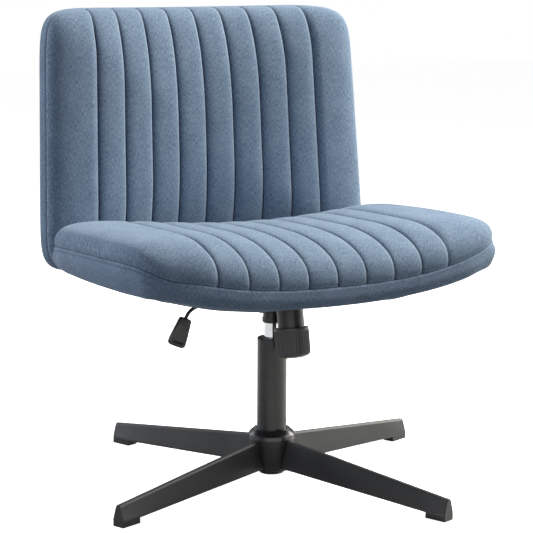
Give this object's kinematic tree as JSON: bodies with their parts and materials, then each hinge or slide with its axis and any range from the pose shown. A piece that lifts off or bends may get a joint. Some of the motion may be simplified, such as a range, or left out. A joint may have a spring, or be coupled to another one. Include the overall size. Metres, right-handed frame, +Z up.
{
  "type": "swivel office chair",
  "caption": "Armless swivel chair with channel-stitched dished seat and curved back, gas lift, sprung tilt mechanism and four-legged pedestal base.",
  "frame": {"origin": "on the floor, on the axis of the column, under the middle of the chair", "axes": "+Z up; the sitter faces -Y; +X is the sitter's left"},
  "size_m": [0.694, 0.6967, 0.7809],
  "materials": {
    "fabric": "blue-grey melange woven upholstery with stitched channels",
    "cover_cloth": "thin black woven dust cover",
    "plywood": "bent plywood, clear",
    "black_steel": "black satin powder coat",
    "chrome": "polished",
    "zinc": "zinc plated",
    "knob_plastic": "matte black with grip ribs",
    "black_plastic": "smooth satin black",
    "bush_plastic": "dark acetal",
    "rubber": "matte black"
  },
  "bodies": {
    "base": {"leg_front": "black_steel", "leg_right": "black_steel", "leg_rear": "black_steel", "leg_left": "black_steel", "foot_front": "black_plastic", "foot_right": "black_plastic", "foot_rear": "black_plastic", "foot_left": "black_plastic", "base_hub": "black_steel", "hub_cover": "zinc", "column_tube": "black_steel", "column_bush": "bush_plastic", "lower_race": "zinc", "bearing_balls": "chrome"},
    "piston": {"piston_rod": "chrome", "upper_race": "zinc", "rod_buffer": "rubber", "rod_clip": "zinc"},
    "lift": {"gas_cylinder": "chrome", "cylinder_gland": "rubber", "taper_socket": "black_steel", "tilt_chassis": "black_steel", "tilt_shaft": "zinc", "shaft_clips": "zinc", "tilt_stops": "rubber", "spring_cup": "black_plastic", "tension_spring": "zinc"},
    "valve": {"valve_pin": "bush_plastic"},
    "lock_slide": {"lock_slide": "zinc", "lever_pin": "zinc"},
    "lever": {"lever_rod": "black_steel", "lever_grip": "black_plastic"},
    "tension_bolt": {"tension_bolt": "zinc"},
    "spring_seat": {"spring_washer": "zinc"},
    "knob": {"tension_knob": "knob_plastic", "knob_nut": "zinc"},
    "seat": {"seat_plate": "black_steel", "pivot_bushes": "bush_plastic", "seat_bolts": "zinc", "board_nuts": "zinc", "dust_cover": "cover_cloth", "seat_board": "plywood", "seat_cushion": "fabric", "back_bracket_left": "black_steel", "back_bracket_right": "black_steel", "bracket_bolts": "zinc", "back_bolts": "zinc", "back_board": "plywood", "back_cushion": "fabric", "back_panel": "fabric"}
  },
  "joints": [
    {"name": "swivel", "type": "hinge", "parent": "base", "child": "piston", "pos_m": [0, 0, 0.03], "axis": [0, 0, 1], "continuous": true},
    {"name": "lift", "type": "slide", "parent": "piston", "child": "lift", "axis": [0, 0, 1], "range_m": [0, 0.1]},
    {"name": "tilt", "type": "hinge", "parent": "lift", "child": "seat", "pos_m": [0, 0.042, 0.3048], "axis": [-1, 0, 0], "range_deg": [0, 12], "stiffness_Nm_per_rad": 120, "springref_deg": -17.19},
    {"name": "bolt_rise", "type": "slide", "parent": "lift", "child": "tension_bolt", "axis": [0, 0.1736, 0.9848], "range_m": [0, 0.0215], "deforming": ["tension_spring"]},
    {"name": "knob_travel", "type": "slide", "parent": "tension_bolt", "child": "spring_seat", "axis": [0, 0.1736, 0.9848], "range_m": [0, 0.006], "deforming": ["tension_spring"]},
    {"name": "knob_turn", "type": "hinge", "parent": "spring_seat", "child": "knob", "pos_m": [0, -0.0625, 0.284], "axis": [0, 0.1736, 0.9848], "range_deg": [0, 1440]},
    {"name": "lever_slide", "type": "slide", "parent": "lift", "child": "lock_slide", "axis": [1, 0, 0], "range_m": [0, 0.008]},
    {"name": "lever_lift", "type": "hinge", "parent": "lock_slide", "child": "lever", "pos_m": [-0.0495, 0, 0.3085], "axis": [0, 1, 0], "range_deg": [0, 5], "stiffness_Nm_per_rad": 0.6, "springref_deg": -20.05},
    {"name": "valve_press", "type": "slide", "parent": "lift", "child": "valve", "axis": [0, 0, -1], "range_m": [0, 0.0055]}
  ],
  "couplings": [
    {"joint": "bolt_rise", "follows": "tilt", "m_per_rad": 0.0989},
    {"joint": "knob_travel", "follows": "knob_turn", "m_per_rad": 0.00023873},
    {"joint": "valve_press", "follows": "lever_lift", "m_per_rad": 0.052}
  ]
}
